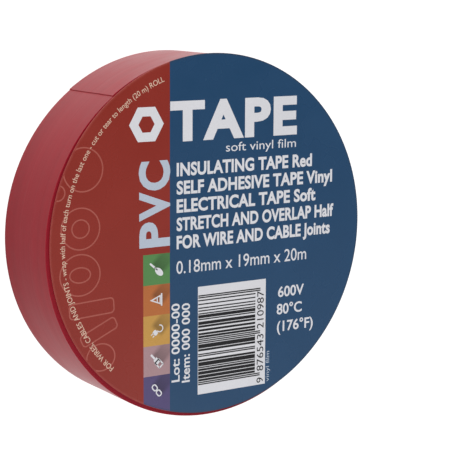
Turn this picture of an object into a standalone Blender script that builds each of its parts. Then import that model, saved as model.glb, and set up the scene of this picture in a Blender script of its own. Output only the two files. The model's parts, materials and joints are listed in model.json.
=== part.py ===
"""Roll of electrical insulating tape on a spiral-wound paperboard core.

The roll lies flat: the origin is the centre of its rear face, +Z runs along the core's axis and out
through the front label, +Y is the top of the label's print and +X its right-hand side.
"""

import math

import bmesh
import bpy
from mathutils import Vector

MM = 0.001

# The tape strip
TAPE_WIDTH = 19.0 * MM
TAPE_THICKNESS = 0.18 * MM
TAPE_LENGTH = 20.0

# The core: plies of core board wound in a spiral and glued, each with a slanted butt seam
CORE_BORE_RADIUS = 16.0 * MM
CORE_WALL = 3.0 * MM
PLY_NAMES = ["core_liner", "core_ply_2", "core_ply_3", "core_ply_4", "core_cover_ply"]
SEAM_WIDTH = 0.35 * MM
SEAM_SLANT = math.radians(52)
SEAM_STAGGER = math.radians(137)
SEAM_SECTIONS = 8

# The free end of the strip, which peels off the roll in short stretches
FREE_END_ANGLE = math.radians(126.7)
END_STRETCHES = 8
FACETS_PER_STRETCH = 2
FOLD_GAP = 0.3 * MM
END_EDGE_INSET = 0.1 * MM

# The front label, a disc of thin card set a little off the roll's centre
LABEL_RADIUS = 38.7 * MM
LABEL_CENTRE = Vector((0.75 * MM, 0.5 * MM))
LABEL_THICKNESS = 0.3 * MM
LABEL_LIFT = 0.05 * MM
LABEL_FOLD_X = 35.0 * MM

# Clearances between pieces that touch
GLUE_GAP = 0.03 * MM
LAYER_GAP = 0.02 * MM

# Round shapes have facets that line up from piece to piece
FACETS = 96
FACET_ANGLE = 2 * math.pi / FACETS

CORE_RADIUS = CORE_BORE_RADIUS + CORE_WALL
ROLL_RADIUS = math.sqrt(CORE_RADIUS**2 + TAPE_LENGTH * TAPE_THICKNESS / math.pi)
TOP_RADIUS = ROLL_RADIUS + TAPE_THICKNESS / 2
LAST_TURN_ANGLE = FREE_END_ANGLE - 2 * math.pi
END_ROOT_ANGLE = FREE_END_ANGLE - END_STRETCHES * FACETS_PER_STRETCH * FACET_ANGLE
LABEL_BACK = TAPE_WIDTH + LABEL_LIFT

# Colours
TAPE_RED = (0.40, 0.035, 0.045)
LINER_GREY = (0.42, 0.40, 0.36)
BOARD_BROWN = (0.36, 0.27, 0.18)
LABEL_BLUE = (0.03, 0.10, 0.20)


def clear_scene():
    for thing in list(bpy.data.objects):
        bpy.data.objects.remove(thing, do_unlink=True)


def make_material(name, colour, roughness):
    material = bpy.data.materials.new(name)
    material.use_nodes = True
    shader = material.node_tree.nodes["Principled BSDF"]
    shader.inputs["Base Color"].default_value = (*colour, 1.0)
    shader.inputs["Roughness"].default_value = roughness
    shader.inputs["Metallic"].default_value = 0.0
    return material


def on_circle(radius, angle, height=0.0):
    return Vector((radius * math.cos(angle), radius * math.sin(angle), height))


def finish_object(bm, name, material, origin=Vector((0.0, 0.0, 0.0))):
    """One object from a closed bmesh, with its origin where it stands or turns."""
    bmesh.ops.recalc_face_normals(bm, faces=bm.faces)
    bmesh.ops.translate(bm, vec=-origin, verts=bm.verts)
    mesh = bpy.data.meshes.new(name)
    bm.to_mesh(mesh)
    bm.free()
    mesh.shade_smooth()
    mesh.set_sharp_from_angle(angle=math.radians(30))
    mesh.materials.append(material)
    thing = bpy.data.objects.new(name, mesh)
    thing.location = origin
    bpy.context.scene.collection.objects.link(thing)
    return thing


def extrude_up(bm, height):
    """Turns a flat sheet of faces into a solid of this height."""
    made = bmesh.ops.extrude_face_region(bm, geom=bm.faces[:])
    raised = [item for item in made["geom"] if isinstance(item, bmesh.types.BMVert)]
    bmesh.ops.translate(bm, vec=(0.0, 0.0, height), verts=raised)


def band_solid(inner, outer, height):
    """A solid whose plan is the band between two rows of points, open at both ends."""
    bm = bmesh.new()
    inner_verts = [bm.verts.new(point) for point in inner]
    outer_verts = [bm.verts.new(point) for point in outer]
    for i in range(len(inner) - 1):
        bm.faces.new((inner_verts[i], outer_verts[i], outer_verts[i + 1], inner_verts[i + 1]))
    extrude_up(bm, height)
    return bm


def ring_solid(inner_radius, outer, height):
    """A solid ring round a bore. Its outer row of points may end a step above where it starts."""
    bm = bmesh.new()
    angles = [FREE_END_ANGLE + i * FACET_ANGLE for i in range(FACETS)]
    inner_verts = [bm.verts.new(on_circle(inner_radius, angle)) for angle in angles]
    outer_verts = [bm.verts.new(point) for point in outer]
    has_step = len(outer) > FACETS
    for i in range(FACETS - 1):
        bm.faces.new((inner_verts[i], outer_verts[i], outer_verts[i + 1], inner_verts[i + 1]))
    closing = [inner_verts[-1], outer_verts[FACETS - 1]]
    if has_step:
        closing.append(outer_verts[-1])
    closing += [outer_verts[0], inner_verts[0]]
    bm.faces.new(closing)
    extrude_up(bm, height)
    return bm


def top_surface(angle):
    """The outer surface of the last turn, at an angle up to the free end's."""
    return TOP_RADIUS - TAPE_THICKNESS * (FREE_END_ANGLE - angle) / (2 * math.pi)


def under_surface(angle):
    """The surface that the last turn is wound on."""
    return top_surface(angle) - TAPE_THICKNESS


def strip_solid(start, end, height):
    """A stretch of the last turn, with its corners on the roll's facets."""
    first = math.ceil((start - FREE_END_ANGLE) / FACET_ANGLE)
    last = math.floor((end - FREE_END_ANGLE) / FACET_ANGLE)
    angles = [FREE_END_ANGLE + i * FACET_ANGLE for i in range(first, last + 1)]
    if angles[0] > start:
        angles.insert(0, start)
    if angles[-1] < end:
        angles.append(end)
    inner = [on_circle(under_surface(angle) + LAYER_GAP, angle) for angle in angles]
    outer = [on_circle(top_surface(angle), angle) for angle in angles]
    return band_solid(inner, outer, height)


def seam_blade(name, radius, angle):
    """A twisted blade that cuts a ply's slanted butt seam. It is a guide and not a piece."""
    reach = CORE_WALL / len(PLY_NAMES)
    half_width = SEAM_WIDTH / 2 / radius
    bm = bmesh.new()
    rows = []
    for i in range(-1, SEAM_SECTIONS + 2):
        share = i / SEAM_SECTIONS
        middle = angle + share * SEAM_SLANT
        height = share * TAPE_WIDTH
        corners = [
            on_circle(radius - reach, middle - half_width, height),
            on_circle(radius + reach, middle - half_width, height),
            on_circle(radius + reach, middle + half_width, height),
            on_circle(radius - reach, middle + half_width, height),
        ]
        rows.append([bm.verts.new(corner) for corner in corners])
    for low, high in zip(rows, rows[1:]):
        for j in range(4):
            k = (j + 1) % 4
            bm.faces.new((low[j], low[k], high[k], high[j]))
    bm.faces.new(rows[0])
    bm.faces.new(rows[-1])
    blade = finish_object(bm, f"{name}_seam_guide", make_material(f"{name}_guide", LINER_GREY, 1.0))
    blade.hide_render = True
    blade.display_type = "WIRE"
    return blade


def make_core():
    """The plies from the bore outwards, each with its seam turned on from the last one's."""
    ply = CORE_WALL / len(PLY_NAMES)
    for i, name in enumerate(PLY_NAMES):
        inner_radius = CORE_BORE_RADIUS + i * ply
        outer_radius = inner_radius + ply - GLUE_GAP
        outer = [
            on_circle(outer_radius, FREE_END_ANGLE + k * FACET_ANGLE) for k in range(FACETS)
        ]
        colour = LINER_GREY if i == 0 else BOARD_BROWN
        bm = ring_solid(inner_radius, outer, TAPE_WIDTH)
        ring = finish_object(bm, name, make_material(name, colour, 0.85))
        seam = ring.modifiers.new("butt_seam", "BOOLEAN")
        seam.operation = "DIFFERENCE"
        seam.object = seam_blade(name, inner_radius + ply / 2, i * SEAM_STAGGER)


def make_winding():
    """All turns but the last. Its outer surface is a spiral with one step, where the last turn starts."""
    angles = [LAST_TURN_ANGLE + k * FACET_ANGLE for k in range(FACETS + 1)]
    outer = [on_circle(under_surface(angle), angle) for angle in angles]
    bm = ring_solid(CORE_RADIUS, outer, TAPE_WIDTH)
    finish_object(bm, "tape_winding", make_material("tape_winding", TAPE_RED, 0.4))


def make_outer_turn():
    """The last turn, from the step under the free end round to where the free end starts to lift."""
    half_gap = FOLD_GAP / 2 / TOP_RADIUS
    start = LAST_TURN_ANGLE + 2 * half_gap
    bm = strip_solid(start, END_ROOT_ANGLE - half_gap, TAPE_WIDTH)
    finish_object(bm, "outer_turn", make_material("outer_turn", TAPE_RED, 0.4))


def make_free_end():
    """Short stretches from the root to the tip, each with its origin on its fold."""
    half_gap = FOLD_GAP / 2 / TOP_RADIUS
    stretch_angle = FACETS_PER_STRETCH * FACET_ANGLE
    for i in range(END_STRETCHES):
        fold = END_ROOT_ANGLE + i * stretch_angle
        is_tip = i == END_STRETCHES - 1
        end = fold + stretch_angle - (0.0 if is_tip else half_gap)
        bm = strip_solid(fold + half_gap, end, TAPE_WIDTH - 2 * END_EDGE_INSET)
        bmesh.ops.translate(bm, vec=(0.0, 0.0, END_EDGE_INSET), verts=bm.verts)
        name = f"tape_end_{i + 1}"
        pivot = on_circle(top_surface(fold) - TAPE_THICKNESS / 2, fold)
        finish_object(bm, name, make_material(name, TAPE_RED, 0.4), pivot)


def label_piece(name, from_fold, start, end):
    """One part of the label disc: its fold's straight edge and the rim between two angles."""
    count = math.ceil((end - start) / FACET_ANGLE)
    bm = bmesh.new()
    rim = [start + (end - start) * i / count for i in range(count + 1)]
    points = [on_circle(LABEL_RADIUS, angle) + LABEL_CENTRE.to_3d() for angle in rim]
    bm.faces.new([bm.verts.new(point) for point in points])
    bmesh.ops.translate(bm, vec=(0.0, 0.0, LABEL_BACK), verts=bm.verts)
    extrude_up(bm, LABEL_THICKNESS)
    pivot = Vector((LABEL_FOLD_X, 0.0, LABEL_BACK + LABEL_THICKNESS)) if from_fold else Vector()
    finish_object(bm, name, make_material(name, LABEL_BLUE, 0.35), pivot)


def make_label():
    """The label in two parts, either side of the fold about which it peels off the face."""
    half_gap = FOLD_GAP / 2
    stuck_angle = math.acos((LABEL_FOLD_X + half_gap - LABEL_CENTRE.x) / LABEL_RADIUS)
    flap_angle = math.acos((LABEL_FOLD_X - half_gap - LABEL_CENTRE.x) / LABEL_RADIUS)
    label_piece("label_stuck_edge", False, -stuck_angle, stuck_angle)
    label_piece("label_flap", True, flap_angle, 2 * math.pi - flap_angle)


def main():
    clear_scene()
    make_core()
    make_winding()
    make_outer_turn()
    make_free_end()
    make_label()


main()
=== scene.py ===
"""The looks of a roll of red insulating tape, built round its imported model.

The roll lies on its rear face with its label upwards. Each piece below is one that a person could
hold: the plies of the core, the wound strip, its last turn and free end, the label card and its print.
"""

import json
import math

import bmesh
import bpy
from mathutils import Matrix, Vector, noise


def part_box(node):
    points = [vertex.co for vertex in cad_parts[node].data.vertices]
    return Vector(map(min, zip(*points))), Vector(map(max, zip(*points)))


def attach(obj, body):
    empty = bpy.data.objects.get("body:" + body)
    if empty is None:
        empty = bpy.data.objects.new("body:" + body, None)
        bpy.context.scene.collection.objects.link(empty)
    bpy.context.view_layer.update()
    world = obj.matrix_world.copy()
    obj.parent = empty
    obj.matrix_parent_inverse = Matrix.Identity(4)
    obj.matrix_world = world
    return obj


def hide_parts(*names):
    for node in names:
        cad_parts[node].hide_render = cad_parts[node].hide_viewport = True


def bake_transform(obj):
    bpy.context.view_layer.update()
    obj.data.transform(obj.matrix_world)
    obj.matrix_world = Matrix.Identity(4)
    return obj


bl_info = {
    "name": "Insulating Tape Roll",
    "version": (1, 0, 0),
    "blender": (4, 5, 0),
    "location": "View3D > Sidebar > Tape Roll",
    "description": "Builds a roll of insulating tape: core, wound strip, peeling end and printed label",
    "category": "Object",
}

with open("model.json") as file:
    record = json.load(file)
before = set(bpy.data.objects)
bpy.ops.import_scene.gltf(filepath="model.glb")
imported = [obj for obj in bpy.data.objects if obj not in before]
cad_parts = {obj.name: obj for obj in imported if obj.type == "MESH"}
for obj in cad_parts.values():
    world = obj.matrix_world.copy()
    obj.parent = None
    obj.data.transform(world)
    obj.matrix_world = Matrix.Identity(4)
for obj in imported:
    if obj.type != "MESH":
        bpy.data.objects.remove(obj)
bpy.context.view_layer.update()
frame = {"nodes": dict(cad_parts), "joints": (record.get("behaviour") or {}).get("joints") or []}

MM = 0.001
FULL_TURN = 2 * math.pi
MERGE_DISTANCE = 1e-7


# --- What the frame says -------------------------------------------------------------------------


def node_radii(name):
    """The smallest and the largest distance of a frame node's corners from the roll's axis."""
    reaches = [corner.co.xy.length for corner in frame["nodes"][name].data.vertices]
    return min(reaches), max(reaches)


def joint_angle(name):
    """Where round the roll a joint of the free end sits."""
    place = next(joint["pos_m"] for joint in frame["joints"] if joint["name"] == name)
    return math.atan2(place[1], place[0])


PLIES = ["core_liner", "core_ply_2", "core_ply_3", "core_ply_4", "core_cover_ply"]
STRETCHES = sorted(name for name in frame["nodes"] if name.startswith("tape_end_"))
FOLDS = [joint_angle("tape_end_peel")]
FOLDS += [joint_angle(f"tape_end_curl_{i}") for i in range(2, len(STRETCHES) + 1)]
STRETCH_ANGLE = FOLDS[1] - FOLDS[0]
FREE_END_ANGLE = FOLDS[-1] + STRETCH_ANGLE
LAST_TURN_ANGLE = FREE_END_ANGLE - FULL_TURN
CORE_RADIUS = node_radii("tape_winding")[0]
TOP_RADIUS = node_radii(STRETCHES[-1])[1]
TAPE_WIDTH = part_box("tape_winding")[1].z
LABEL_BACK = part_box("label_flap")[0].z
LABEL_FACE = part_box("label_flap")[1].z
LABEL_FOLD = next(joint["pos_m"][0] for joint in frame["joints"] if joint["name"] == "label_peel")


# --- Sizes and colours that a user would change ----------------------------------------------------


def length(name, description, default):
    """A size in metres, given here in millimetres."""
    return bpy.props.FloatProperty(
        name=name, description=description, default=default * MM, precision=5, unit="LENGTH"
    )


def slant(name, description, default):
    """An angle, given here in degrees."""
    return bpy.props.FloatProperty(
        name=name, description=description, default=math.radians(default), subtype="ANGLE"
    )


def whole(name, description, default):
    """A number of pieces of something."""
    return bpy.props.IntProperty(name=name, description=description, default=default)


def colour(name, description, default):
    """A scene-linear colour."""
    return bpy.props.FloatVectorProperty(
        name=name, description=description, default=default, size=3, min=0.0, max=1.0, subtype="COLOR"
    )


class TAPEROLL_Core(bpy.types.PropertyGroup):
    seam_slant: slant("Seam Slant", "How far round the core a ply's seam runs over its height", 52)
    seam_stagger: slant("Seam Stagger", "How far each ply's seam is turned on from the last one's", 137)
    columns: whole("Columns", "Facets round a ply, one of which is its seam", 300)
    rings: whole("Rings", "Rows of facets over a ply's height, which carry its twist", 20)
    edge_round: length("Edge Round", "Rounding of a ply's cut edges", 0.06)


class TAPEROLL_Tape(bpy.types.PropertyGroup):
    thickness: length("Thickness", "Thickness of film and adhesive together", 0.18)
    layer_gap: length("Layer Gap", "Clearance between one turn and the next", 0.015)
    turn_facets: whole("Turn Facets", "Facets in each hidden turn of the winding", 96)
    top_facets: whole("Top Facets", "Facets in a full turn of the strip's visible last turn", 384)
    rows: whole("Rows", "Rows of facets across the visible strip", 28)
    edge_play: length("Edge Play", "How far a turn's edge wanders in or out of the face", 0.03)
    gauge_band: length("Gauge Band", "Height of the bands where the film was rolled thicker", 0.025)
    edge_round: length("Edge Round", "Rounding of the slit edges", 0.045)
    film: colour("Film", "Colour of the glossy film", (0.41, 0.021, 0.033))
    # the slit colour is the film's cut edge, darker than the film as painted shade in the gaps between turns
    slit_with_gap_shade: colour("Slit Edge", "Colour of the film's slit edges", (0.345, 0.006, 0.021))
    adhesive: colour("Adhesive", "Colour of the film seen through the adhesive", (0.30, 0.014, 0.022))


class TAPEROLL_Label(bpy.types.PropertyGroup):
    radius: length("Radius", "Radius of the die-cut card disc", 38.7)
    centre_x: length("Centre X", "How far right of the roll's axis the disc was stuck", 0.75)
    centre_y: length("Centre Y", "How far above the roll's axis the disc was stuck", 0.5)
    field_edge: length("Field Edge", "Boundary between the left and the right printed field", -10.05)
    squares_left: length("Squares Left", "Left edge of the column of coloured squares", -16.5)
    squares_top: length("Squares Top", "Top edge of the column of coloured squares", -2.2)
    square_height: length("Square Height", "Height of one coloured square", 6.53)
    fold_reach: length("Fold Reach", "How far each side of the fold the card bends", 2.0)
    fold_cuts: whole("Fold Cuts", "Cuts that let the card bend", 17)
    edge_round: length("Edge Round", "Rounding of the die-cut edge", 0.05)
    ink_layer: length("Ink Layer", "Height that one layer of ink adds to the card", 0.008)
    left_field: colour("Left Field", "Printed field on the left", (0.295, 0.027, 0.0165))
    right_field: colour("Right Field", "Printed field on the right", (0.015, 0.067, 0.158))
    light_ink: colour("Light Ink", "White ink of the printed lines", (0.82, 0.82, 0.86))
    cool_ink: colour("Cool Ink", "Bluish white ink of the material's name", (0.54, 0.61, 0.72))
    faint_ink: colour("Faint Ink", "Ink of the faint outlines", (0.45, 0.11, 0.085))
    cream_ink: colour("Cream Ink", "Ink of the small words along the rim", (0.85, 0.60, 0.46))
    dark_ink: colour("Dark Ink", "Ink of the bar code", (0.005, 0.005, 0.007))


def settings():
    """The three groups of sizes and colours in this scene."""
    scene = bpy.context.scene
    return scene.tape_roll_core, scene.tape_roll_tape, scene.tape_roll_label


# --- Steps that every piece shares -----------------------------------------------------------------


def clear_selection():
    """Leaves nothing selected, so that an operator touches only what is added next."""
    if bpy.context.object is not None and bpy.context.object.mode != "OBJECT":
        bpy.ops.object.mode_set(mode="OBJECT")
    bpy.ops.object.select_all(action="DESELECT")


def select_only(*pieces):
    """Selects these pieces alone, with the first of them active."""
    clear_selection()
    for piece in pieces:
        piece.select_set(True)
    bpy.context.view_layer.objects.active = pieces[0]


def settle(piece):
    """Puts an object's turn, scale and place into its mesh."""
    select_only(piece)
    bpy.ops.object.transform_apply(location=True, rotation=True, scale=True)
    return piece


def edit(piece):
    """Opens a piece in edit mode with nothing selected."""
    select_only(piece)
    bpy.ops.object.mode_set(mode="EDIT")
    bpy.ops.mesh.select_mode(type="FACE")
    bpy.ops.mesh.select_all(action="DESELECT")


def pick(piece, kind, wanted):
    """Selects, in edit mode, the faces, edges or verts that the test accepts."""
    bpy.ops.mesh.select_mode(type=kind)
    mesh = bmesh.from_edit_mesh(piece.data)
    elements = {"FACE": mesh.faces, "EDGE": mesh.edges, "VERT": mesh.verts}[kind]
    for element in elements:
        element.select_set(wanted(element))
    mesh.select_flush_mode()
    bmesh.update_edit_mesh(piece.data)


def close_edit():
    bpy.ops.object.mode_set(mode="OBJECT")


def thicken(piece, thickness, offset):
    """Gives a sheet a wall: offset 1 grows it along its normals and -1 against them."""
    select_only(piece)
    wall = piece.modifiers.new("wall", "SOLIDIFY")
    wall.thickness = thickness
    wall.offset = offset
    bpy.ops.object.modifier_apply(modifier=wall.name)


def round_edges(piece, width, angle):
    select_only(piece)
    rounding = piece.modifiers.new("rounding", "BEVEL")
    rounding.width = width
    rounding.segments = 2
    rounding.limit_method = "ANGLE"
    rounding.angle_limit = angle
    bpy.ops.object.modifier_apply(modifier=rounding.name)


def finish_piece(piece, name, smooth_angle=math.radians(40)):
    """Names a finished piece, closes its seams and shades it."""
    edit(piece)
    bpy.ops.mesh.select_all(action="SELECT")
    bpy.ops.mesh.remove_doubles(threshold=MERGE_DISTANCE)
    bpy.ops.mesh.normals_make_consistent(inside=False)
    close_edit()
    bpy.ops.object.shade_smooth_by_angle(angle=smooth_angle)
    piece.name = name
    piece.data.name = name


def paint(piece, materials, which=lambda face: 0):
    """Gives a piece its materials, and each face the one that the test names."""
    piece.data.materials.clear()
    for material in materials:
        piece.data.materials.append(material)
    for face in piece.data.polygons:
        face.material_index = which(face)


# --- Materials -------------------------------------------------------------------------------------

NODE_SPACING = 260
NODES_IN_A_ROW = 6
SOCKET_KINDS = {"Vector": "NodeSocketVector", "Colour": "NodeSocketColor"}
NOISE_RANGE = (0.3, 0.7)  # which one noise seldom leaves
TWO_NOISES_RANGE = (0.6, 1.4)  # and the sum of two
FLECK_BROWN = (0.11, 0.08, 0.05)
PRINT_RELIEF = (0.35, 0.01 * MM)  # strength and distance
SHADOW_HALF_WIDTH = 1.9 * MM
SHADOW_REACH = 6.0 * MM
# how far in from the rim the rim colour reaches: scuffed wear and painted edge light
RIM_WEAR_AND_LIGHT_REACH = 0.5 * MM


def add(tree, kind, options=None, inputs=None):
    """A shader node with its options, and each of its inputs given a value or a link."""
    row, column = divmod(len(tree.nodes), NODES_IN_A_ROW)
    node = tree.nodes.new(kind)
    node.location = (column * NODE_SPACING, -row * NODE_SPACING)
    for name, value in (options or {}).items():
        setattr(node, name, value)
    for key, value in (inputs or {}).items():
        if isinstance(value, bpy.types.NodeSocket):
            tree.links.new(value, node.inputs[key])
        else:
            node.inputs[key].default_value = value
    return node


def new_group(name, takes, gives):
    """An empty node group with named inputs and outputs, which are numbers unless their kind is listed."""
    tree = bpy.data.node_groups.new(name, "ShaderNodeTree")
    for direction, labels in (("INPUT", takes), ("OUTPUT", gives)):
        for label in labels:
            kind = SOCKET_KINDS.get(label, "NodeSocketFloat")
            tree.interface.new_socket(name=label, in_out=direction, socket_type=kind)
    start = add(tree, "NodeGroupInput")
    end = add(tree, "NodeGroupOutput")
    return tree, start.outputs, end.inputs


def scaled(tree, vector, scale):
    """A pattern's coordinates, stretched."""
    return add(tree, "ShaderNodeMapping", inputs={"Vector": vector, "Scale": scale}).outputs["Vector"]


def noise_of(tree, vector, scale, detail):
    inputs = {"Vector": vector, "Scale": scale, "Detail": detail, "Roughness": 0.55}
    return add(tree, "ShaderNodeTexNoise", inputs=inputs).outputs["Fac"]


def ranged(tree, value, low, high, to_low, to_high):
    """A value moved from one range to another, held at its ends."""
    inputs = {"Value": value, "From Min": low, "From Max": high, "To Min": to_low, "To Max": to_high}
    return add(tree, "ShaderNodeMapRange", inputs=inputs).outputs["Result"]


def following(tree, value, low, high):
    """A value that goes from low to high as a noise goes through its usual range."""
    return ranged(tree, value, *NOISE_RANGE, low, high)


def maths(tree, operation, first, second=0.0):
    return add(tree, "ShaderNodeMath", {"operation": operation}, {0: first, 1: second}).outputs["Value"]


def opaque(rgb):
    return (*rgb, 1.0)


def brighten(tree, base, value):
    """A colour made lighter or darker by a value about 1."""
    inputs = {"Hue": 0.5, "Saturation": 1.0, "Value": value, "Fac": 1.0, "Color": base}
    return add(tree, "ShaderNodeHueSaturation", inputs=inputs).outputs["Color"]


def mottled(tree, base, first, second, depth):
    """A colour that two noises together make lighter and darker, up to a depth."""
    swing = ranged(tree, maths(tree, "ADD", first, second), *TWO_NOISES_RANGE, -1.0, 1.0)
    return brighten(tree, base, maths(tree, "ADD", maths(tree, "MULTIPLY", swing, depth), 1.0))


def blend_colours(tree, mask, first, second):
    """The first colour where the mask is 0, and the second where it is 1."""
    mix = add(tree, "ShaderNodeMix", {"data_type": "RGBA"}, {"Factor": mask})
    for key, value in (("A", first), ("B", second)):
        socket = next(s for s in mix.inputs if s.name == key and s.type == "RGBA")
        if isinstance(value, bpy.types.NodeSocket):
            tree.links.new(value, socket)
        else:
            socket.default_value = value
    return next(s for s in mix.outputs if s.type == "RGBA")


def make_film_bands():
    """Long bands along the strip where the film was rolled thicker, and soft blotches of its dye."""
    takes = ("Vector", "Colour", "Depth")
    tree, given, put = new_group("film_bands", takes, ("Colour", "Roughness", "Height"))
    bands = noise_of(tree, scaled(tree, given["Vector"], (6.0, 420.0, 1.0)), scale=1.0, detail=3.0)
    blotches = noise_of(tree, scaled(tree, given["Vector"], (45.0, 90.0, 1.0)), scale=1.0, detail=4.0)
    streaks = noise_of(tree, scaled(tree, given["Vector"], (90.0, 2600.0, 1.0)), scale=1.0, detail=2.0)
    tree.links.new(mottled(tree, given["Colour"], bands, blotches, given["Depth"]), put["Colour"])
    tree.links.new(following(tree, blotches, 0.27, 0.40), put["Roughness"])
    fine = maths(tree, "MULTIPLY", streaks, 0.25)
    tree.links.new(maths(tree, "ADD", bands, fine), put["Height"])
    return tree


def make_print_grain():
    """The tooth of coated card under ink: a fine grain, and a slow unevenness of the ink film."""
    takes = ("Vector", "Colour", "Mottle")
    tree, given, put = new_group("print_grain", takes, ("Colour", "Roughness", "Height"))
    slow = noise_of(tree, given["Vector"], scale=70.0, detail=3.0)
    fine = noise_of(tree, given["Vector"], scale=3200.0, detail=2.0)
    tree.links.new(mottled(tree, given["Colour"], slow, fine, given["Mottle"]), put["Colour"])
    tree.links.new(following(tree, slow, 0.22, 0.32), put["Roughness"])
    tree.links.new(fine, put["Height"])
    return tree


def make_board_fibre():
    """Grey and brown fibres pressed flat in core board, with a few dark flecks."""
    tree, given, put = new_group("board_fibre", ("Vector", "Colour", "Fleck"), ("Colour", "Height"))
    fibres = noise_of(tree, scaled(tree, given["Vector"], (500.0, 500.0, 2600.0)), scale=1.0, detail=5.0)
    felt = noise_of(tree, given["Vector"], scale=900.0, detail=6.0)
    cells = add(tree, "ShaderNodeTexVoronoi", inputs={"Vector": given["Vector"], "Scale": 650.0})
    specks = ranged(tree, cells.outputs["Distance"], 0.08, 0.16, 1.0, 0.0)
    mask = maths(tree, "MULTIPLY", specks, given["Fleck"])
    both = maths(tree, "ADD", fibres, felt)
    tinted = brighten(tree, given["Colour"], ranged(tree, both, *TWO_NOISES_RANGE, 0.72, 1.25))
    tree.links.new(blend_colours(tree, mask, tinted, opaque(FLECK_BROWN)), put["Colour"])
    tree.links.new(both, put["Height"])
    return tree


def make_rim_wear_and_edge_light():
    """A mask that rises towards a disc's rim in small scuffs. It lays the rim colour, which is scuffed wear
    with painted edge light: a painted highlight on the left, painted shade on the right.
    """
    tree, given, put = new_group("rim_wear_and_edge_light", ("Vector", "Radius", "Reach"), ("Mask",))
    out = add(tree, "ShaderNodeVectorMath", {"operation": "LENGTH"}, {0: given["Vector"]}).outputs["Value"]
    inner = maths(tree, "SUBTRACT", given["Radius"], given["Reach"])
    rise = ranged(tree, out, inner, given["Radius"], 0.0, 1.0)
    grain = noise_of(tree, given["Vector"], scale=900.0, detail=4.0)
    scuffs = ranged(tree, grain, 0.3, 0.65, 0.25, 1.0)
    tree.links.new(maths(tree, "MULTIPLY", rise, scuffs), put["Mask"])
    return tree


def make_long_shadow():
    """A soft printed shadow that a pictogram throws up and to the right across its square."""
    takes = ("Vector", "Centre X", "Centre Y", "Half Width", "Reach")
    tree, given, put = new_group("long_shadow", takes, ("Mask",))
    parts = add(tree, "ShaderNodeSeparateXYZ", inputs={"Vector": given["Vector"]}).outputs
    right = maths(tree, "SUBTRACT", parts["X"], given["Centre X"])
    upward = maths(tree, "SUBTRACT", parts["Y"], given["Centre Y"])
    diagonal = math.sqrt(0.5)
    along = maths(tree, "MULTIPLY", maths(tree, "ADD", right, upward), diagonal)
    across = maths(tree, "MULTIPLY", maths(tree, "SUBTRACT", upward, right), diagonal)
    aside = maths(tree, "DIVIDE", maths(tree, "ABSOLUTE", across), given["Half Width"])
    onward = maths(tree, "DIVIDE", along, given["Reach"])
    band = ranged(tree, aside, 0.6, 1.1, 1.0, 0.0)
    begun = ranged(tree, onward, -0.1, 0.08, 0.0, 1.0)
    fading = ranged(tree, onward, 0.1, 1.0, 1.0, 0.15)
    strength = maths(tree, "MULTIPLY", begun, fading)
    tree.links.new(maths(tree, "MULTIPLY", strength, band), put["Mask"])
    return tree


GROUP_MAKERS = {
    "film_bands": make_film_bands,
    "print_grain": make_print_grain,
    "board_fibre": make_board_fibre,
    "rim_wear_and_edge_light": make_rim_wear_and_edge_light,
    "long_shadow": make_long_shadow,
}


def place_group(tree, name, inputs):
    """A node of one of the groups above, which is built the first time that a material asks for it."""
    group = bpy.data.node_groups.get(name) or GROUP_MAKERS[name]()
    return add(tree, "ShaderNodeGroup", {"node_tree": group}, inputs).outputs


def new_material(name, roughness, specular=0.5):
    """A material with its own shader, and its node tree."""
    material = bpy.data.materials.new(name)
    material.use_nodes = True
    shader = material.node_tree.nodes["Principled BSDF"]
    shader.inputs["Roughness"].default_value = roughness
    shader.inputs["Metallic"].default_value = 0.0
    shader.inputs["IOR"].default_value = 1.5
    shader.inputs["Specular IOR Level"].default_value = specular
    return material, material.node_tree, shader


def coordinates(tree, kind):
    """Object coordinates for rigid pieces, or the piece's own UV map in metres for those that bend."""
    return add(tree, "ShaderNodeTexCoord").outputs[kind]


def add_relief(tree, shader, height, strength, distance):
    inputs = {"Height": height, "Strength": strength, "Distance": distance}
    relief = add(tree, "ShaderNodeBump", inputs=inputs)
    tree.links.new(relief.outputs["Normal"], shader.inputs["Normal"])


def add_surface(tree, shader, made, wanted, strength, distance):
    """Feeds the shader from a group: its wanted outputs, and its height as relief."""
    sockets = {"Colour": "Base Color", "Roughness": "Roughness"}
    for label in wanted:
        tree.links.new(made[label], shader.inputs[sockets[label]])
    add_relief(tree, shader, made["Height"], strength, distance)


def film_material(name, base, depth, relief):
    """Plasticised vinyl film, calendered along the strip."""
    material, tree, shader = new_material(name, roughness=0.33)
    place = coordinates(tree, "UV")
    made = place_group(tree, "film_bands", {"Vector": place, "Colour": opaque(base), "Depth": depth})
    add_surface(tree, shader, made, ("Colour", "Roughness"), strength=1.0, distance=relief)
    return material


def slit_material(base):
    """The slit edges of the film, where each turn shows as a fine line of its own tone. The base colour is
    the film's cut edge, darkened as painted shade for the narrow gaps between the turns.
    """
    material, tree, shader = new_material("tape_slit_edge_gap_shade", roughness=0.45, specular=0.25)
    place = coordinates(tree, "UV")
    turns = noise_of(tree, scaled(tree, place, (7.0, 0.0, 0.0)), scale=1.0, detail=6.0)
    rings = noise_of(tree, scaled(tree, place, (0.9, 0.0, 0.0)), scale=1.0, detail=2.0)
    turn_shade = following(tree, turns, 0.72, 1.30)
    ring_shade = ranged(tree, rings, 0.35, 0.65, 0.78, 1.22)
    value = maths(tree, "MULTIPLY", turn_shade, ring_shade)
    tree.links.new(brighten(tree, opaque(base), value), shader.inputs["Base Color"])
    tree.links.new(following(tree, rings, 0.38, 0.55), shader.inputs["Roughness"])
    return material


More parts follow.
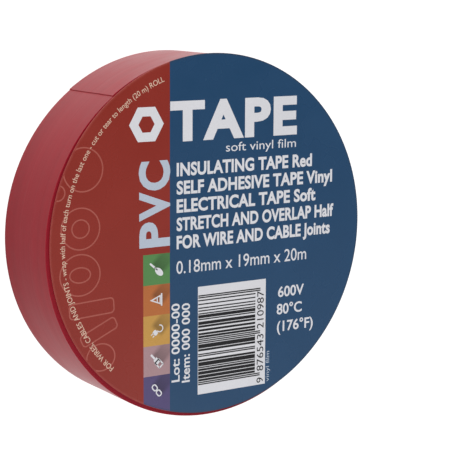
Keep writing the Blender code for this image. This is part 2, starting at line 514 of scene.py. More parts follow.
def adhesive_material(base):
    """The tacky side: the film's colour through a clear rubbery layer with a fine orange-peel."""
    material, tree, shader = new_material("tape_adhesive", roughness=0.5)
    place = coordinates(tree, "UV")
    peel = noise_of(tree, place, scale=2200.0, detail=3.0)
    slow = noise_of(tree, place, scale=120.0, detail=3.0)
    tinted = brighten(tree, opaque(base), following(tree, slow, 0.85, 1.15))
    tree.links.new(tinted, shader.inputs["Base Color"])
    tree.links.new(following(tree, peel, 0.42, 0.62), shader.inputs["Roughness"])
    add_relief(tree, shader, peel, strength=0.8, distance=0.02 * MM)
    return material


def board_material(name, base, fleck):
    """Recycled core board."""
    material, tree, shader = new_material(name, roughness=0.9, specular=0.25)
    place = coordinates(tree, "Object")
    made = place_group(tree, "board_fibre", {"Vector": place, "Colour": opaque(base), "Fleck": fleck})
    add_surface(tree, shader, made, ("Colour",), strength=0.9, distance=0.06 * MM)
    return material


def card_material(name, base, rim_wear_and_light, label, shadow=None):
    """A printed field of the card and the colour of its rim, which is scuffed wear with a painted highlight
    on the left rim and painted shade on the right. A square also has its shadow's centre.
    """
    material, tree, shader = new_material(name, roughness=0.28)
    place = coordinates(tree, "UV")
    shown = opaque(base)
    if shadow is not None:
        inputs = {"Centre X": shadow.x, "Centre Y": shadow.y}
        inputs.update({"Vector": place, "Half Width": SHADOW_HALF_WIDTH, "Reach": SHADOW_REACH})
        cast = place_group(tree, "long_shadow", inputs)["Mask"]
        deep = [channel * 0.5 + 0.004 for channel in base]
        shown = blend_colours(tree, cast, shown, opaque(deep))
    made = place_group(tree, "print_grain", {"Vector": place, "Colour": shown, "Mottle": 0.07})
    # the rim colour: scuffed wear, with a painted highlight on the left and painted shade on the right
    inputs = {"Vector": place, "Radius": label.radius, "Reach": RIM_WEAR_AND_LIGHT_REACH}
    worn_and_lit = place_group(tree, "rim_wear_and_edge_light", inputs)["Mask"]
    tree.links.new(blend_colours(tree, worn_and_lit, made["Colour"], opaque(rim_wear_and_light)), shader.inputs["Base Color"])
    add_surface(tree, shader, made, ("Roughness",), *PRINT_RELIEF)
    return material


def plain_card_material(name, base, roughness):
    """Bare card: the die-cut edge, or the gummed back. The die-cut edge's colours carry painted light: a
    painted highlight on the left and painted shade on the right.
    """
    material, tree, shader = new_material(name, roughness, specular=0.35)
    place = coordinates(tree, "UV")
    made = place_group(tree, "print_grain", {"Vector": place, "Colour": opaque(base), "Mottle": 0.12})
    add_surface(tree, shader, made, ("Colour",), strength=0.8, distance=0.03 * MM)
    return material


def ink_material(name, base):
    """One ink of the print, on coated card."""
    found = bpy.data.materials.get(name)
    if found is not None:
        return found
    material, tree, shader = new_material(name, roughness=0.36)
    place = coordinates(tree, "Object")
    made = place_group(tree, "print_grain", {"Vector": place, "Colour": opaque(base), "Mottle": 0.05})
    add_surface(tree, shader, made, ("Colour", "Roughness"), *PRINT_RELIEF)
    return material


# --- The core --------------------------------------------------------------------------------------

LINER_GREY = (0.42, 0.40, 0.36)
BOARD_BROWN = (0.36, 0.27, 0.18)


def make_ply(node, seam_angle, core, material):
    """One ply of core board: a tube with one facet taken out for its seam, twisted, then given its wall."""
    inner, outer = node_radii(node)
    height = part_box(node)[1].z
    clear_selection()
    bpy.ops.mesh.primitive_cylinder_add(
        vertices=core.columns,
        radius=inner,
        depth=height,
        end_fill_type="NOTHING",
        location=(0, 0, height / 2),
    )
    ply = settle(bpy.context.object)
    edit(ply)
    for ring in range(1, core.rings):
        bpy.ops.mesh.select_all(action="SELECT")
        bpy.ops.mesh.bisect(plane_co=(0, 0, height * ring / core.rings), plane_no=(0, 0, 1))
    column = FULL_TURN / core.columns
    seam = (math.floor(seam_angle / column) + 0.5) * column
    direction = Vector((math.cos(seam), math.sin(seam)))
    half_column = math.cos(column / 2)
    pick(ply, "FACE", lambda face: face.calc_center_median().xy.normalized() @ direction > half_column)
    bpy.ops.mesh.delete(type="FACE")
    close_edit()
    twist = ply.modifiers.new("seam_slant", "SIMPLE_DEFORM")
    twist.deform_method = "TWIST"
    twist.deform_axis = "Z"
    twist.angle = core.seam_slant
    bpy.ops.object.modifier_apply(modifier=twist.name)
    thicken(ply, outer - inner, offset=1.0)
    round_edges(ply, core.edge_round, angle=math.radians(50))
    paint(ply, [material])
    finish_piece(ply, f"{node}_board")
    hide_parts(node)
    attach(ply, "roll")


class TAPEROLL_OT_make_core(bpy.types.Operator):
    """Winds the core's plies of board, each with a slanted butt seam"""

    bl_idname = "tape_roll.make_core"
    bl_label = "Make Core"

    def execute(self, context):
        core = settings()[0]
        liner = board_material("core_liner_board", LINER_GREY, fleck=0.8)
        brown = board_material("core_brown_board", BOARD_BROWN, fleck=0.5)
        for i, node in enumerate(PLIES):
            make_ply(node, i * core.seam_stagger % FULL_TURN, core, liner if i == 0 else brown)
        return {"FINISHED"}


# --- The wound strip -------------------------------------------------------------------------------


def strip_radius(angle, tape):
    """The strip's outer surface at a winding angle, which falls by one thickness a turn from the free end."""
    return TOP_RADIUS - tape.thickness * (FREE_END_ANGLE - angle) / FULL_TURN


def strip_length(angle, tape):
    """How far from the free end a winding angle is, along the strip."""
    turned = FREE_END_ANGLE - angle
    return TOP_RADIUS * turned - tape.thickness * turned**2 / (2 * FULL_TURN)


# The film's swells across its width: how many there are, where the first starts and how strong they are
SWELLS = ((1.7, 0.15, 1.0), (4.3, 0.4, 0.6))
PLAY_SCALE = Vector((9.0, 3.0))  # of a turn's edge, per metre of strip and over its width
PLAY_SLICE = 1.7


def gauge(share, tape):
    """The film's bands: how far its surface stands proud at a share of the strip's width."""
    swell = sum(strong * math.sin(FULL_TURN * (count * share + first)) for count, first, strong in SWELLS)
    most = sum(strong for count, first, strong in SWELLS)
    return tape.gauge_band * (0.5 + swell / (2 * most))


def edge_play(along, share, tape):
    """How far a hidden turn's edge wanders, always inwards from the roll's face."""
    play = noise.noise((along * PLAY_SCALE.x, share * PLAY_SCALE.y, PLAY_SLICE)) * tape.edge_play
    return play - tape.edge_play if share > 0.5 else play + tape.edge_play


def make_strip(start, end, columns, rows, tape, is_visible):
    """A stretch of the strip between two winding angles: a flat grid rolled up into the spiral."""
    clear_selection()
    bpy.ops.mesh.primitive_grid_add(x_subdivisions=columns, y_subdivisions=rows, size=1.0)
    strip = bpy.context.object
    mesh = strip.data
    places = []
    for corner in mesh.vertices:
        angle = start + (end - start) * (corner.co.x + 0.5)
        share = corner.co.y + 0.5
        if is_visible:  # its rows crowd towards the slit edges
            share = 0.5 - 0.5 * math.cos(math.pi * share)
        radius = strip_radius(angle, tape)
        height = share * TAPE_WIDTH
        along = strip_length(angle, tape)
        if is_visible:
            radius += gauge(share, tape)
        else:
            height += edge_play(along, share, tape)
        corner.co = (radius * math.cos(angle), radius * math.sin(angle), height)
        places.append((along, height))
    layer = mesh.uv_layers.active
    for loop in mesh.loops:
        layer.data[loop.index].uv = places[loop.vertex_index]
    layer.name = "strip"
    thicken(strip, tape.thickness - tape.layer_gap, offset=-1.0)
    return strip


def is_slit(face):
    """Whether a face of the strip is one of its slit edges, which look along the roll's axis."""
    return abs(face.normal.z) > 0.5


def strip_side(face):
    """Which of the strip's materials a face takes: film outside, slit edges, adhesive inside."""
    if is_slit(face):
        return 1
    return 0 if face.normal.xy @ face.center.xy > 0 else 2


def round_slit_edges(strip, tape):
    """Rounds the two long outer edges, and leaves the ends square where the next stretch follows on."""
    edit(strip)

    def is_slit_edge(edge):
        first, second = edge.verts
        if abs(first.co.z - second.co.z) > MERGE_DISTANCE:
            return False
        at_side = min(first.co.z, TAPE_WIDTH - first.co.z) < MERGE_DISTANCE
        faces_out = any(face.normal.xy @ face.calc_center_median().xy > 0.01 for face in edge.link_faces)
        turns_round = any(is_slit(face) for face in edge.link_faces)
        return at_side and faces_out and turns_round

    pick(strip, "EDGE", is_slit_edge)
    bpy.ops.mesh.bevel(offset=tape.edge_round, segments=2, affect="EDGES")
    close_edit()


def tape_materials(tape):
    """The strip's three finishes, made once."""
    names = ("tape_film", "tape_slit_edge_gap_shade", "tape_adhesive")
    if bpy.data.materials.get(names[0]) is None:
        film_material(names[0], tape.film, depth=0.12, relief=0.05 * MM)
        slit_material(tape.slit_with_gap_shade)
        adhesive_material(tape.adhesive)
    return [bpy.data.materials[name] for name in names]


class TAPEROLL_OT_make_winding(bpy.types.Operator):
    """Winds all of the strip but its last turn, as one spiral"""

    bl_idname = "tape_roll.make_winding"
    bl_label = "Make Winding"

    def execute(self, context):
        tape = settings()[1]
        turns = (TOP_RADIUS - tape.thickness - CORE_RADIUS) / tape.thickness
        whole_turns = math.floor(turns)
        start = FREE_END_ANGLE - whole_turns * FULL_TURN
        columns = (whole_turns - 1) * tape.turn_facets
        winding = make_strip(start, LAST_TURN_ANGLE, columns, 1, tape, False)
        paint(winding, tape_materials(tape), strip_side)
        finish_piece(winding, "wound_strip")
        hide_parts("tape_winding")
        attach(winding, "roll")
        return {"FINISHED"}


class TAPEROLL_OT_make_last_turn(bpy.types.Operator):
    """Lays the strip's last turn, up to where its free end starts to lift"""

    bl_idname = "tape_roll.make_last_turn"
    bl_label = "Make Last Turn"

    def execute(self, context):
        tape = settings()[1]
        end = FOLDS[0] - STRETCH_ANGLE / 2
        columns = round((end - LAST_TURN_ANGLE) / FULL_TURN * tape.top_facets)
        turn = make_strip(LAST_TURN_ANGLE, end, columns, tape.rows, tape, True)
        round_slit_edges(turn, tape)
        paint(turn, tape_materials(tape), strip_side)
        finish_piece(turn, "last_turn")
        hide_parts("outer_turn")
        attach(turn, "roll")
        return {"FINISHED"}


class TAPEROLL_OT_make_free_end(bpy.types.Operator):
    """Makes the free end in stretches, each from half a stretch before its fold to half a stretch past it,
    the last one to the tip
    """

    bl_idname = "tape_roll.make_free_end"
    bl_label = "Make Free End"

    def execute(self, context):
        tape = settings()[1]
        half = STRETCH_ANGLE / 2
        for i, fold in enumerate(FOLDS):
            is_tip = i == len(FOLDS) - 1
            end = FREE_END_ANGLE if is_tip else fold + half
            columns = round((end - fold + half) / FULL_TURN * tape.top_facets)
            stretch = make_strip(fold - half, end, columns, tape.rows, tape, True)
            round_slit_edges(stretch, tape)
            paint(stretch, tape_materials(tape), strip_side)
            finish_piece(stretch, f"free_end_{i + 1}")
            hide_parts(STRETCHES[i])
            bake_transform(stretch)
        return {"FINISHED"}


# --- The label card --------------------------------------------------------------------------------

SQUARES = {
    "green": (0.105, 0.275, 0.085),
    "orange": (0.53, 0.165, 0.045),
    "yellow": (0.63, 0.345, 0.08),
    "mauve": (0.45, 0.28, 0.30),
    "purple": (0.10, 0.075, 0.20),
}
CARD_BACK = (0.62, 0.60, 0.55)
# rim colours: the left one is scuffed wear with a painted highlight, the right one is painted shade
RIM_LEFT_WEAR_AND_HIGHLIGHT = (0.39, 0.075, 0.058)
RIM_RIGHT_SHADE = (0.034, 0.056, 0.098)
# die-cut edge colours in the fields' hues: a pale painted highlight on the left edge, painted shade on the
# right
CUT_EDGE_RED_HIGHLIGHT = (0.42, 0.075, 0.065)
CUT_EDGE_BLUE_SHADE = (0.02, 0.04, 0.09)
CARD_FACETS = 360
FACES_UP = 0.95  # the least upward part of the printed side's normals


def square_centre(index, label):
    """The middle of one of the coloured squares, on the label."""
    middle = (label.squares_left + label.field_edge) / 2
    return Vector((middle, label.squares_top - (index + 0.5) * label.square_height))


def cut_card(card, place, normal, wanted=lambda face: True):
    """Cuts the card's faces along a straight line where the test accepts them."""
    pick(card, "FACE", wanted)
    bpy.ops.mesh.bisect(plane_co=(*place, 0.0), plane_no=(*normal, 0.0))


def field_of(place, label):
    """Which printed field a place on the card belongs to: the left, the right, or a square."""
    if place.x > label.field_edge:
        return 1
    if place.x < label.squares_left or place.y > label.squares_top:
        return 0
    below_top = (label.squares_top - place.y) / label.square_height
    return 2 + min(int(below_top), len(SQUARES) - 1)


class TAPEROLL_OT_make_card(bpy.types.Operator):
    """Cuts the label's card disc, with its printed fields, its squares and its fold"""

    bl_idname = "tape_roll.make_card"
    bl_label = "Make Label Card"

    def execute(self, context):
        label = settings()[2]
        clear_selection()
        bpy.ops.mesh.primitive_circle_add(
            vertices=CARD_FACETS,
            radius=label.radius,
            fill_type="NGON",
            location=(label.centre_x, label.centre_y, LABEL_FACE),
        )
        card = settle(bpy.context.object)
        edit(card)
        cut_card(card, (label.field_edge, 0), (1, 0))
        cut_card(card, (label.squares_left, 0), (1, 0), lambda f: f.calc_center_median().x < label.field_edge)
        for i in range(len(SQUARES)):
            border = label.squares_top - i * label.square_height
            cut_card(
                card,
                (0, border),
                (0, 1),
                lambda f: label.squares_left < f.calc_center_median().x < label.field_edge,
            )
        for i in range(label.fold_cuts):
            share = 2 * i / (label.fold_cuts - 1) - 1
            cut_card(card, (LABEL_FOLD + share * label.fold_reach, 0), (1, 0))
        close_edit()
        thicken(card, LABEL_FACE - LABEL_BACK, offset=-1.0)
        round_edges(card, label.edge_round, angle=math.radians(60))
        self.map_print(card, label)
        self.paint_card(card, label)
        finish_piece(card, "label_card", smooth_angle=math.radians(20))
        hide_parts("label_flap", "label_stuck_edge")
        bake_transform(card)
        return {"FINISHED"}

    def map_print(self, card, label):
        """A UV map in metres from the disc's centre, which stays with the card as it bends."""
        layer = card.data.uv_layers.active or card.data.uv_layers.new(name="print")
        layer.name = "print"
        for loop in card.data.loops:
            corner = card.data.vertices[loop.vertex_index].co
            layer.data[loop.index].uv = (corner.x - label.centre_x, corner.y - label.centre_y)

    def paint_card(self, card, label):
        materials = [
            card_material("label_left_field", label.left_field, RIM_LEFT_WEAR_AND_HIGHLIGHT, label),
            card_material("label_right_field", label.right_field, RIM_RIGHT_SHADE, label),
        ]
        for i, (name, base) in enumerate(SQUARES.items()):
            centre = square_centre(i, label) - Vector((label.centre_x, label.centre_y))
            materials.append(card_material(f"label_square_{name}", base, RIM_RIGHT_SHADE, label, centre))
        back = len(materials)
        materials += [
            plain_card_material("label_back", CARD_BACK, roughness=0.55),
            plain_card_material("label_cut_edge_left_highlight", CUT_EDGE_RED_HIGHLIGHT, roughness=0.5),
            plain_card_material("label_cut_edge_right_shade", CUT_EDGE_BLUE_SHADE, roughness=0.5),
        ]

        def which(face):
            if face.normal.z > FACES_UP:
                return field_of(face.center, label)
            if face.normal.z < -FACES_UP:
                return back
            # the die-cut edge and its rounding: painted highlight left of the field edge, painted shade right
            # of it
            return back + 1 if face.center.x < label.field_edge else back + 2

        paint(card, materials, which)


# --- The print -------------------------------------------------------------------------------------

CAPITAL_HEIGHT = 0.7  # of the built-in font, at size 1
UPRIGHT = math.pi / 2
CURVE_STEPS = 4
# How far a letter's outline is moved out, in parts of its size
FINE = 0.001
REGULAR = 0.004
MEDIUM = 0.0175
BOLD = 0.035
EXTRA_BOLD = 0.0385
HEAVY = 0.043


def set_words(text, start, long, tall, boldness=0.0, turn=0.0, spacing=1.0):
    """One line of print as a flat mesh: where its baseline starts, its length and its capitals' height."""
    clear_selection()
    bpy.ops.object.text_add()
    line = bpy.context.object
    line.data.body = text
    line.data.offset = boldness
    line.data.space_character = spacing
    line.data.resolution_u = CURVE_STEPS
    bpy.ops.object.convert(target="MESH")
    line = bpy.context.object
    reaches = [corner.co.x for corner in line.data.vertices]
    stretch = long * MM / (max(reaches) - min(reaches))
    line.scale = (stretch, tall * MM / CAPITAL_HEIGHT, 1.0)
    line.rotation_euler.z = turn
    back = Matrix.Rotation(turn, 2) @ Vector((min(reaches) * stretch, 0.0))
    line.location = (start[0] * MM - back.x, start[1] * MM - back.y, 0.0)
    return settle(line)


def print_on_card(shapes, name, layer, material):
    """Joins flat shapes into one piece of ink and lays it on the card, as high as its layer of ink."""
    label = settings()[2]
    select_only(*shapes)
    if len(shapes) > 1:
        bpy.ops.object.join()
    ink = bpy.context.object
    top = LABEL_FACE + layer * label.ink_layer
    bottom = LABEL_FACE - label.ink_layer
    ink.location.z = bottom
    settle(ink)
    edit(ink)
    bpy.ops.mesh.select_all(action="SELECT")
    bpy.ops.mesh.remove_doubles(threshold=MERGE_DISTANCE)
    bpy.ops.mesh.extrude_region_move(TRANSFORM_OT_translate={"value": (0.0, 0.0, top - bottom)})
    close_edit()
    paint(ink, [material])
    finish_piece(ink, name)
    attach(ink, "label")


def flat_disc(centre, radius_x, radius_y, turn=0.0, corners=40):
    """A disc or an oval. Few corners make it a polygon."""
    clear_selection()
    bpy.ops.mesh.primitive_circle_add(vertices=corners, radius=MM, fill_type="NGON")
    disc = bpy.context.object
    disc.scale = (radius_x, radius_y, 1.0)
    disc.rotation_euler.z = turn
    disc.location = (centre[0] * MM, centre[1] * MM, 0.0)
    return settle(disc)


def flat_bar(centre, long, wide, turn=0.0, corner=0.0):
    """A bar, whose corners may be rounded off by a radius."""
    clear_selection()
    bpy.ops.mesh.primitive_plane_add(size=MM)
    bar = bpy.context.object
    bar.scale = (long, wide, 1.0)
    settle(bar)
    if corner > 0.0:
        edit(bar)
        bpy.ops.mesh.select_all(action="SELECT")
        bpy.ops.mesh.bevel(offset=corner * MM, segments=6, affect="VERTICES")
        close_edit()
    bar.rotation_euler.z = turn
    bar.location = (centre[0] * MM, centre[1] * MM, 0.0)
    return settle(bar)


def hollow_out(shape, line):
    """Leaves only a line of this width along a flat shape's outline."""
    edit(shape)
    bpy.ops.mesh.select_all(action="SELECT")
    bpy.ops.mesh.inset(thickness=line * MM, depth=0.0, use_even_offset=True)
    bpy.ops.mesh.delete(type="FACE")
    close_edit()
    return shape


def trim(shape, place, normal):
    """Cuts away the side of a flat shape that the normal points to."""
    edit(shape)
    bpy.ops.mesh.select_all(action="SELECT")
    on_cut = (place[0] * MM, place[1] * MM, 0.0)
    bpy.ops.mesh.bisect(plane_co=on_cut, plane_no=(*normal, 0.0), clear_outer=True)
    close_edit()
    return shape


def light_ink():
    return ink_material("ink_light", settings()[2].light_ink)


class TAPEROLL_OT_print_words(bpy.types.Operator):
    """Prints the label's title, its lines of words and its ratings"""

    bl_idname = "tape_roll.print_words"
    bl_label = "Print Words"

    lines = (
        ("INSULATING TAPE Red", 26.4, 13.9),
        ("SELF ADHESIVE TAPE Vinyl", 32.0, 10.05),
        ("ELECTRICAL TAPE Soft", 27.5, 6.2),
        ("STRETCH AND OVERLAP Half", 32.5, 2.3),
        ("FOR WIRE AND CABLE Joints", 31.6, -1.55),
    )
    lines_left = -8.4
    line_height = 2.65
    ratings = (("600V", (17.7, -14.8), 7.0), ("80°C", (17.4, -18.7), 6.8), ("(176°F)", (17.5, -22.6), 9.8))
    rating_height = 2.3
    letters = (("P", -0.7, 5.35), ("V", 4.95, 6.1), ("C", 11.2, 6.2))
    letters_right = -10.4
    letter_height = 6.8
    batch = (("Lot: 0000-00", (-7.7, -30.4), 17.1), ("Item: 000 000", (-5.15, -30.8), 17.3))
    batch_height = 1.95

    def execute(self, context):
        light = light_ink()
        cool = ink_material("ink_cool", settings()[2].cool_ink)
        title = set_words("TAPE", (-9.95, 21.5), 32.15, 7.7, HEAVY, spacing=1.12)
        print_on_card([title], "print_title", 1, light)
        mark = hollow_out(flat_disc((-15.6, 25.0), 4.1, 4.1, math.radians(30), corners=6), 1.9)
        print_on_card([mark], "print_nut_mark", 1, light)
        print_on_card([set_words("soft vinyl film", (3.8, 18.3), 18.2, 1.9)], "print_subtitle", 1, light)
        left, tall = self.lines_left, self.line_height
        bold = [
            set_words(text, (left, low), right - left, tall, BOLD, spacing=1.03)
            for text, right, low in self.lines
        ]
        print_on_card(bold, "print_lines", 1, light)
        size = set_words("0.18mm x 19mm x 20m", (-8.45, -6.95), 33.65, 2.75, REGULAR)
        print_on_card([size], "print_size", 1, light)
        ratings = [set_words(*rating, self.rating_height, MEDIUM) for rating in self.ratings]
        print_on_card(ratings, "print_ratings", 1, light)
        letters = [
            set_words(letter, (self.letters_right, start), long, self.letter_height, EXTRA_BOLD, UPRIGHT)
            for letter, start, long in self.letters
        ]
        print_on_card(letters, "print_material", 1, cool)
        batch = [set_words(*line, self.batch_height, MEDIUM, UPRIGHT) for line in self.batch]
        print_on_card(batch, "print_batch", 1, light)
        note = set_words("vinyl film", (15.5, -33.6), 6.9, 0.95, 0.0, UPRIGHT)
        print_on_card([note], "print_note", 1, cool)
        return {"FINISHED"}


class TAPEROLL_OT_print_rim_words(bpy.types.Operator):
    """Prints the small words that follow the label's left rim"""

    bl_idname = "tape_roll.print_rim_words"
    bl_label = "Print Rim Words"

    text = (
        "FOR WIRES, CABLES AND JOINTS - wrap with half of each turn on the last one"
        " - cut or tear to length (20 m) ROLL"
    )
    baseline = 35.3
    tall = 1.15
    first_angle = math.radians(226.5)
    last_angle = math.radians(110)

    def execute(self, context):
        label = settings()[2]
        middle = self.baseline + self.tall / 2
        words = set_words(self.text, (0, 0), middle * (self.first_angle - self.last_angle), self.tall, FINE)
        for corner in words.data.vertices:
            angle = self.first_angle - corner.co.x / (middle * MM)
            radius = self.baseline * MM + corner.co.y
            corner.co.x = label.centre_x + radius * math.cos(angle)
            corner.co.y = label.centre_y + radius * math.sin(angle)
        print_on_card([words], "print_rim_words", 2, ink_material("ink_cream", label.cream_ink))
        return {"FINISHED"}


class TAPEROLL_OT_print_outlines(bpy.types.Operator):
    """Prints the faint outlines of rolls and cut strips behind the words at the left"""

    bl_idname = "tape_roll.print_outlines"
    bl_label = "Print Outlines"

    line = 0.28
    keep_inside = 0.3

    def execute(self, context):
        label = settings()[2]
        shapes = [
            flat_disc((-30.3, 16.6), 4.6, 4.6, corners=72),
            flat_disc((-36.0, 12.2), 1.7, 1.7, corners=48),
            flat_disc((-31.0, 4.6), 4.5, 4.4, corners=72),
            flat_disc((-31.0, 4.6), 2.1, 2.0, corners=60),
            flat_disc((-31.2, -4.9), 4.7, 4.4, corners=72),
            flat_disc((-31.2, -4.9), 2.5, 1.7, corners=60),
            flat_bar((-28.6, -12.1), 10.5, 3.4, math.radians(3), 0.9),
            flat_bar((-27.0, -17.2), 9.0, 2.8, math.radians(24), 0.9),
            flat_disc((-26.6, -22.6), 3.4, 3.0, corners=60),
        ]
        centre = Vector((label.centre_x, label.centre_y)) / MM
        for shape in shapes:
            hollow_out(shape, self.line)
            corners = [corner.co.xy for corner in shape.data.vertices]
            middle = sum(corners, Vector((0, 0))) / len(corners) / MM
            outward = (middle - centre).normalized()
            edge = centre + outward * (label.radius / MM - self.keep_inside)
            trim(shape, edge, outward)
        print_on_card(shapes, "print_outlines", 1, ink_material("ink_faint", label.faint_ink))
        return {"FINISHED"}


class TAPEROLL_OT_print_bar_code(bpy.types.Operator):
    """Prints a bar code of placeholder digits on its pale panel"""

    bl_idname = "tape_roll.print_bar_code"
    bl_label = "Print Bar Code"

    digits = "9876543210987"
    digit_modules = (
        "0001101",
        "0011001",
        "0010011",
        "0111101",
        "0100011",
        "0110001",
        "0101111",
        "0111011",
        "0110111",
        "0001011",
    )
    panel_left = -3.1
    panel_right = 14.4
    panel_bottom = -34.0
    panel_top = -10.3
    bars_left = -3.0
    bars_bottom = -31.9
    bars_top = -12.2
    bars_right = 11.7
    guards_right = 13.0
    ink_spread = 0.3
    digits_foot = 13.9
    digit_height = 1.75

    def modules(self):
        """The code from bottom to top as ones and zeros, each with whether it belongs to a long guard bar."""
        first, second = self.digits[1:7], self.digits[7:]
        flipped = str.maketrans("01", "10")
        code = [(module, True) for module in "101"]
        code += [(module, False) for digit in first for module in self.digit_modules[int(digit)]]
        code += [(module, True) for module in "01010"]
        for digit in second:
            code += [(module, False) for module in self.digit_modules[int(digit)].translate(flipped)]
        return code + [(module, True) for module in "101"]

    def execute(self, context):
        label = settings()[2]
        wide = self.panel_right - self.panel_left
        high = self.panel_top - self.panel_bottom
        middle = ((self.panel_right + self.panel_left) / 2, (self.panel_top + self.panel_bottom) / 2)
        print_on_card([flat_bar(middle, wide, high)], "bar_code_panel", 1, light_ink())
        code = self.modules()
        module = (self.bars_top - self.bars_bottom) / len(code)
        bars = []
        i = 0
        while i < len(code):
            run = 1
            while i + run < len(code) and code[i + run][0] == code[i][0]:
                run += 1
            if code[i][0] == "1":
                right = self.guards_right if code[i][1] else self.bars_right
                centre = ((self.bars_left + right) / 2, self.bars_bottom + (i + run / 2) * module)
                bars.append(flat_bar(centre, right - self.bars_left, (run + self.ink_spread) * module))
            i += run
        dark = ink_material("ink_dark", label.dark_ink)
        print_on_card(bars, "bar_code_bars", 2, dark)
        figures = [
            set_words(digits, (self.digits_foot, start), long, self.digit_height, 0.0, UPRIGHT)
            for digits, start, long in (
                (self.digits[0], -33.6, 1.2),
                (self.digits[1:7], -30.9, 8.3),
                (self.digits[7:], -21.3, 8.4),
            )
        ]
        print_on_card(figures, "bar_code_digits", 2, dark)
        return {"FINISHED"}


class TAPEROLL_OT_print_pictograms(bpy.types.Operator):
    """Prints one small white pictogram on each coloured square, turned on its side"""

    bl_idname = "tape_roll.print_pictograms"
    bl_label = "Print Pictograms"

    def trowel(self, x, y):
        slope = math.radians(-40)
        return [
            flat_bar((x - 1.0, y + 0.85), 1.6, 0.42, slope, 0.18),
            flat_bar((x - 0.15, y + 0.14), 1.0, 0.22, slope),
            flat_disc((x + 0.6, y - 0.55), 1.15, 0.68, slope),
        ]

    def cone(self, x, y):
        body = flat_disc((x + 0.1, y), 1.2, 1.75, UPRIGHT, corners=3)
        return [
            hollow_out(body, 0.27),
            flat_bar((x + 0.15, y), 0.24, 0.9),
            flat_bar((x + 1.2, y), 0.34, 2.7),
        ]

    def plug(self, x, y):
        slope = math.radians(42)
        loop = hollow_out(flat_disc((x + 0.75, y + 0.35), 0.85, 0.85), 0.24)
        cable = trim(loop, (x + 0.35, y + 0.35), (-1, 0.4))
        return [
            flat_bar((x - 0.35, y - 0.5), 1.0, 1.15, slope, 0.25),
            flat_bar((x - 1.1, y - 0.75), 0.7, 0.2, slope),
            flat_bar((x - 0.7, y - 1.2), 0.7, 0.2, slope),
            cable,
        ]

    def brush(self, x, y):
        slope = math.radians(-47)
        head = hollow_out(flat_bar((x + 0.55, y - 0.7), 1.9, 1.5, slope, 0.1), 0.3)
        return [
            flat_bar((x - 0.95, y + 0.9), 1.4, 0.46, slope, 0.18),
            flat_bar((x - 0.25, y + 0.16), 0.6, 1.05, slope),
            head,
            flat_bar((x + 0.2, y - 0.35), 0.8, 1.3, slope),
        ]

    def links(self, x, y):
        slope = math.radians(-52)
        return [
            hollow_out(flat_bar((x - 0.5, y + 0.66), 1.65, 1.25, slope, 0.6), 0.28),
            hollow_out(flat_bar((x + 0.5, y - 0.6), 1.65, 1.25, slope, 0.6), 0.28),
        ]

    def execute(self, context):
        label = settings()[2]
        light = light_ink()
        drawings = [self.trowel, self.cone, self.plug, self.brush, self.links]
        for i, draw in enumerate(drawings):
            middle = square_centre(i, label) / MM
            print_on_card(draw(*middle), f"pictogram_{draw.__name__}", 1, light)
        return {"FINISHED"}


# --- The stage -------------------------------------------------------------------------------------

CAMERA_PLACE = Vector((-173.9, 56.4, 294.15)) * MM
CAMERA_TURN = tuple(math.radians(angle) for angle in (-9.974, -33.18, 0.462))
CAMERA_LENS = 118.7
FLOOR_RADIUS = 1.5
FLOOR_CORNERS = 96
FLOOR_GAP = 0.05 * MM
FLOOR_WHITE = 0.86
FLOOR_GLOW = 0.68
FLOOR_GREY = 0.42
SKY_SOUTH = 0.56
SKY_NORTH = 0.66
FLAG_DIRECTION = Vector((0.53, 0.08, 0.84))
FLAG_EDGE = (0.74, 0.94)  # the cosines between which the flag sets in
FLAG_DEPTH = 0.9
FLAG_LOWER_EDGE = (-0.17, -0.09)
FLAG_BELOW = 0.2  # how much of the flag is left under its lower edge
LAMP_SIZE = 0.9
LAMPS = {
    "key_softbox": ((-0.15, 0.85, 0.75), 3.7),
    "fill_softbox": ((0.30, -0.85, 0.75), 2.5),
    "side_softbox": ((-0.95, -0.15, 0.55), 1.6),
}


def shown_as(tree, value, shown):
    """A value that lights the object, and another that the camera sees in its place."""
    direct = add(tree, "ShaderNodeLightPath").outputs["Is Camera Ray"]
    inputs = {"Factor": direct, 2: value, 3: shown}
    return add(tree, "ShaderNodeMix", {"data_type": "FLOAT"}, inputs).outputs[0]


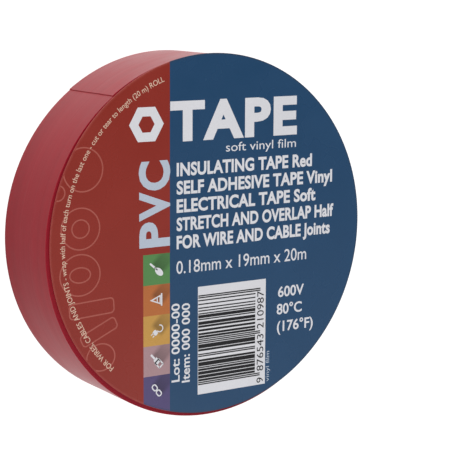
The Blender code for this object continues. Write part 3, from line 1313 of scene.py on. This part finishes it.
class TAPEROLL_OT_set_stage(bpy.types.Operator):
    """Sets the pale floor, the soft lights, the world and the camera"""

    bl_idname = "tape_roll.set_stage"
    bl_label = "Set Stage"

    def execute(self, context):
        context.scene.view_settings.view_transform = "Standard"
        self.lay_floor()
        self.light_world(context.scene)
        for name, (place, power) in LAMPS.items():
            self.add_lamp(name, place, power)
        self.place_camera(context.scene)
        return {"FINISHED"}

    def lay_floor(self):
        """A floor that looks white, and that a glossy side mirrors as a mid grey."""
        clear_selection()
        bpy.ops.mesh.primitive_circle_add(
            vertices=FLOOR_CORNERS, radius=FLOOR_RADIUS, fill_type="NGON", location=(0, 0, -FLOOR_GAP)
        )
        floor = bpy.context.object
        floor.name = "floor"
        material, tree, shader = new_material("floor_white", roughness=0.9, specular=0.0)
        shader.inputs["Base Color"].default_value = opaque([FLOOR_GREY] * 3)
        place = add(tree, "ShaderNodeTexCoord").outputs["Object"]
        outward = add(tree, "ShaderNodeVectorMath", {"operation": "NORMALIZE"}, {0: place})
        side = add(tree, "ShaderNodeSeparateXYZ", inputs={"Vector": outward.outputs[0]}).outputs["Y"]
        lit = maths(tree, "MULTIPLY", maths(tree, "MULTIPLY", side, side), FLOOR_GLOW)
        shader.inputs["Emission Color"].default_value = (1.0, 1.0, 1.0, 1.0)
        tree.links.new(shown_as(tree, lit, FLOOR_WHITE), shader.inputs["Emission Strength"])
        paint(floor, [material])

    def light_world(self, scene):
        """Even light from all round, with a dark flag where the label's face would mirror it."""
        world = bpy.data.worlds.new("studio")
        world.use_nodes = True
        scene.world = world
        tree = world.node_tree
        sky = tree.nodes["Background"]
        towards = add(tree, "ShaderNodeTexCoord").outputs["Generated"]
        parts = add(tree, "ShaderNodeSeparateXYZ", inputs={"Vector": towards}).outputs
        soft = ranged(tree, parts["Y"], -1.0, 1.0, SKY_SOUTH, SKY_NORTH)
        options = {"operation": "DOT_PRODUCT"}
        near = add(tree, "ShaderNodeVectorMath", options, {0: towards, 1: FLAG_DIRECTION})
        patch = ranged(tree, near.outputs["Value"], *FLAG_EDGE, 0.0, FLAG_DEPTH)
        above = ranged(tree, parts["Y"], *FLAG_LOWER_EDGE, FLAG_BELOW, 1.0)
        flag = maths(tree, "MULTIPLY", patch, above)
        soft = maths(tree, "MULTIPLY", soft, maths(tree, "SUBTRACT", 1.0, flag))
        sky.inputs["Color"].default_value = (1.0, 1.0, 1.0, 1.0)
        tree.links.new(shown_as(tree, soft, 1.0), sky.inputs["Strength"])

    def add_lamp(self, name, place, power):
        clear_selection()
        bpy.ops.object.light_add(type="AREA", location=place)
        lamp = bpy.context.object
        lamp.name = name
        lamp.data.size = LAMP_SIZE
        lamp.data.energy = power
        lamp.rotation_euler = (-Vector(place)).to_track_quat("-Z", "Y").to_euler()

    def place_camera(self, scene):
        clear_selection()
        bpy.ops.object.camera_add(location=CAMERA_PLACE, rotation=CAMERA_TURN)
        camera = bpy.context.object
        camera.data.lens = CAMERA_LENS
        camera.data.clip_start = 0.01
        scene.camera = camera


# --- The add-on ------------------------------------------------------------------------------------


class TAPEROLL_PT_panel(bpy.types.Panel):
    """Lists the steps that build the roll"""

    bl_label = "Tape Roll"
    bl_idname = "TAPEROLL_PT_panel"
    bl_space_type = "VIEW_3D"
    bl_region_type = "UI"
    bl_category = "Tape Roll"

    def draw(self, context):
        for step in STEPS:
            self.layout.operator(step.bl_idname)
        for group in settings():
            box = self.layout.box()
            for key in group.bl_rna.properties.keys():
                if key not in ("rna_type", "name"):
                    box.prop(group, key)


STEPS = (
    TAPEROLL_OT_make_core,
    TAPEROLL_OT_make_winding,
    TAPEROLL_OT_make_last_turn,
    TAPEROLL_OT_make_free_end,
    TAPEROLL_OT_make_card,
    TAPEROLL_OT_print_words,
    TAPEROLL_OT_print_rim_words,
    TAPEROLL_OT_print_outlines,
    TAPEROLL_OT_print_bar_code,
    TAPEROLL_OT_print_pictograms,
    TAPEROLL_OT_set_stage,
)
GROUPS = {
    "tape_roll_core": TAPEROLL_Core,
    "tape_roll_tape": TAPEROLL_Tape,
    "tape_roll_label": TAPEROLL_Label,
}


def register():
    for group in GROUPS.values():
        bpy.utils.register_class(group)
    for name, group in GROUPS.items():
        setattr(bpy.types.Scene, name, bpy.props.PointerProperty(type=group))
    for step in (*STEPS, TAPEROLL_PT_panel):
        bpy.utils.register_class(step)


def unregister():
    for step in (TAPEROLL_PT_panel, *reversed(STEPS)):
        bpy.utils.unregister_class(step)
    for name, group in GROUPS.items():
        delattr(bpy.types.Scene, name)
        bpy.utils.unregister_class(group)


def main():
    register()
    bpy.ops.tape_roll.make_core()
    bpy.ops.tape_roll.make_winding()
    bpy.ops.tape_roll.make_last_turn()
    bpy.ops.tape_roll.make_free_end()
    bpy.ops.tape_roll.make_card()
    bpy.ops.tape_roll.print_words()
    bpy.ops.tape_roll.print_rim_words()
    bpy.ops.tape_roll.print_outlines()
    bpy.ops.tape_roll.print_bar_code()
    bpy.ops.tape_roll.print_pictograms()
    bpy.ops.tape_roll.set_stage()


if __name__ == "__main__":
    main()
